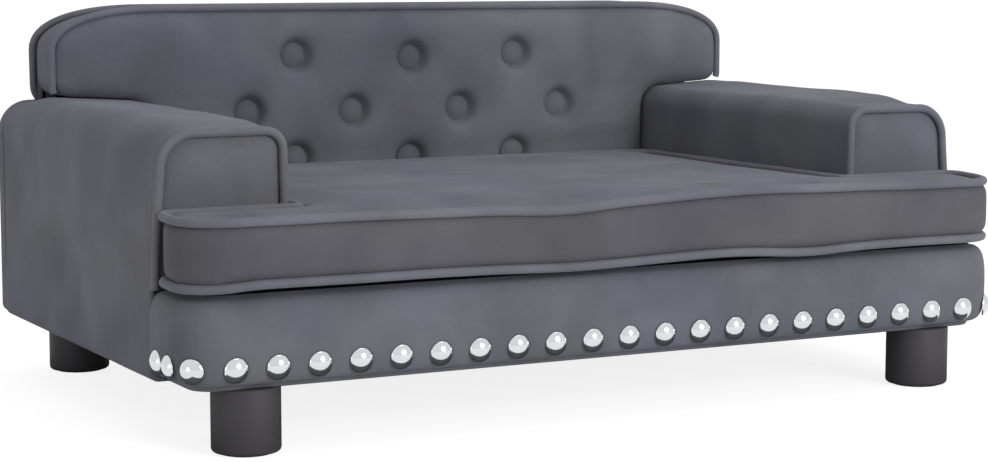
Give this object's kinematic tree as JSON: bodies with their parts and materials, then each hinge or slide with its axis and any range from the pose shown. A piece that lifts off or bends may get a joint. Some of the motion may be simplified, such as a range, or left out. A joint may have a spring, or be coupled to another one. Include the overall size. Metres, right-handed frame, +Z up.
{
  "type": "dog sofa bed",
  "caption": "Small pet sofa: plywood frame on round legs, velvet arms and button-tufted back, dome-nail trim and a loose T-shaped seat cushion.",
  "frame": {"origin": "On the floor under the middle of the sofa.", "axes": "+X runs to the right as seen from the front, -Y is the front with the nail row, +Z is up."},
  "size_m": [0.7094, 0.45, 0.306],
  "materials": {
    "velvet": "short-pile velvet over padding",
    "piping_velvet": "the same velvet over a cord",
    "plywood": "bare plywood edges and faces",
    "pine": "planed softwood",
    "foam": "open-cell polyurethane foam",
    "hardware_steel": "zinc-plated",
    "nail_chrome": "bright nickel-plated domes",
    "leg_plastic": "satin black",
    "glide_rubber": "soft black pads",
    "dust_cloth": "non-woven sheet",
    "zip_cloth": "woven tape with nylon coil teeth",
    "zip_metal": "lacquered die-cast slider",
    "twine": "nylon tufting twine with toggles"
  },
  "bodies": {
    "sofa": {"base_panel": "plywood", "front_rail": "pine", "rear_rail": "pine", "middle_batten": "pine", "front_corner_blocks": "pine", "side_panel_left": "plywood", "side_panel_right": "plywood", "seat_deck": "plywood", "arm_inner_panel_left": "plywood", "arm_inner_panel_right": "plywood", "arm_top_board_left": "plywood", "arm_top_board_right": "plywood", "arm_front_board_left": "plywood", "arm_front_board_right": "plywood", "back_board": "plywood", "base_screws": "hardware_steel", "deck_screws": "hardware_steel", "arm_screws": "hardware_steel", "back_screws": "hardware_steel", "leg_front_left": "leg_plastic", "leg_front_right": "leg_plastic", "leg_rear_left": "leg_plastic", "leg_rear_right": "leg_plastic", "leg_bolts": "hardware_steel", "leg_t_nuts": "hardware_steel", "leg_glides": "glide_rubber", "dust_cover": "dust_cloth", "deck_cover": "velvet", "arm_foam_left": "foam", "arm_foam_right": "foam", "arm_cover_left": "velvet", "arm_cover_right": "velvet", "arm_front_pad_left": "velvet", "arm_front_pad_right": "velvet", "arm_piping_left": "piping_velvet", "arm_piping_right": "piping_velvet", "apron_pad": "velvet", "dome_nails": "nail_chrome", "backrest_pad": "velvet", "backrest_front_piping": "piping_velvet", "backrest_rear_piping": "piping_velvet", "tuft_buttons": "velvet", "button_ties": "twine", "back_cover": "velvet"},
    "cushion": {"cushion_cover": "velvet", "cushion_foam": "foam", "cushion_top_piping": "piping_velvet", "cushion_bottom_piping": "piping_velvet", "zip_tape": "zip_cloth"},
    "zip_slider": {"zip_slider": "zip_metal"}
  },
  "joints": [
    {"name": "cushion_lift_off", "type": "slide", "parent": "sofa", "child": "cushion", "axis": [0, -0.5, 0.866], "range_m": [0, 0.2]},
    {"name": "zip_slide", "type": "slide", "parent": "cushion", "child": "zip_slider", "axis": [1, 0, 0], "range_m": [0, 0.285]}
  ]
}
